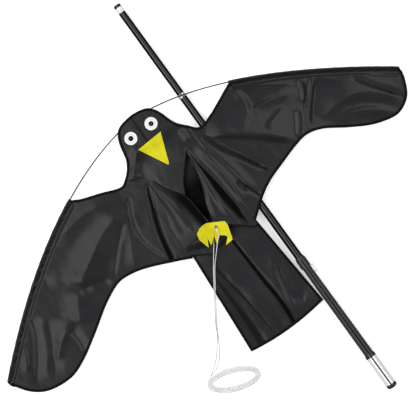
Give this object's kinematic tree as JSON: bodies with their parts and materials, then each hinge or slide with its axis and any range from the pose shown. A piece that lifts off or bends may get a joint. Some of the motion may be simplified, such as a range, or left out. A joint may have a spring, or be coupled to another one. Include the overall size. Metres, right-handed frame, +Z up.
{
  "type": "bird scarer kite with telescopic pole",
  "caption": "Bird-shaped scarer kite of black cloth on a bent rod, clipped to its closed telescopic pole, with a coiled line from the claws.",
  "frame": {"origin": "on the ground, half way along the pole and half way between the wing tips", "axes": "+Z up from the ground, +Y along the pole towards its tip, +X across the wings"},
  "size_m": [1.3124, 1.226, 0.0631],
  "materials": {
    "pole_black": "gloss black lacquer on glass fibre",
    "inner_fibre": "bare wound glass fibre",
    "handle_black": "satin moulded plastic",
    "grip": "satin sleeve",
    "foot_chrome": "polished",
    "bright_band": "polished",
    "clear_plastic": "frosted",
    "cushion_rubber": "soft",
    "rod_fibre": "drawn glass fibre",
    "joiner_brass": "drawn",
    "trim_black": "moulded",
    "sail_cloth": "coated ripstop, soft sheen",
    "sleeve_cloth": "coated ripstop, doubled",
    "edge_tape": "woven tape",
    "yellow_cloth": "coated cloth",
    "eye_white": "coated cloth",
    "eyelet_metal": "plated",
    "line_nylon": "clear line"
  },
  "bodies": {
    "kite": {"rod_clip": "bright_band", "left_rod": "rod_fibre", "right_rod": "rod_fibre", "rod_joiner": "joiner_brass", "rod_end_caps": "trim_black", "left_sleeve": "sleeve_cloth", "right_sleeve": "sleeve_cloth", "left_wing": "sail_cloth", "right_wing": "sail_cloth", "body_panel": "sail_cloth", "tail_panel": "sail_cloth", "left_keel": "sail_cloth", "right_keel": "sail_cloth", "left_wing_tape": "edge_tape", "right_wing_tape": "edge_tape", "head_tape": "edge_tape", "tail_tape": "edge_tape", "beak": "yellow_cloth", "eye_discs": "eye_white", "pupils": "trim_black", "front_claws": "yellow_cloth", "back_claws": "yellow_cloth", "eyelet": "eyelet_metal", "eyelet_washer": "eyelet_metal", "tip_rivets": "trim_black", "front_line": "line_nylon", "back_line": "line_nylon", "front_coil": "line_nylon", "back_coil": "line_nylon"},
    "pole": {"butt_plug": "handle_black", "butt_cushion": "cushion_rubber", "butt_sleeve": "foot_chrome", "flare_ring": "handle_black", "grip_sleeve": "grip", "grip_collar": "handle_black", "line_keeper": "clear_plastic", "outer_section": "pole_black", "mouth_band": "bright_band"},
    "second_stage": {"second_section": "inner_fibre"},
    "third_stage": {"third_section": "inner_fibre"},
    "tip_stage": {"tip_section": "inner_fibre", "tip_knob": "pole_black"}
  },
  "joints": [
    {"name": "pole_slide", "type": "slide", "parent": "kite", "child": "pole", "axis": [0, -1, 0], "range_m": [0, 0.25]},
    {"name": "second_draw", "type": "slide", "parent": "pole", "child": "second_stage", "axis": [0, 1, 0], "range_m": [0, 1.02]},
    {"name": "third_draw", "type": "slide", "parent": "second_stage", "child": "third_stage", "axis": [0, 1, 0], "range_m": [0, 1.02]},
    {"name": "tip_draw", "type": "slide", "parent": "third_stage", "child": "tip_stage", "axis": [0, 1, 0], "range_m": [0, 1.02]}
  ]
}
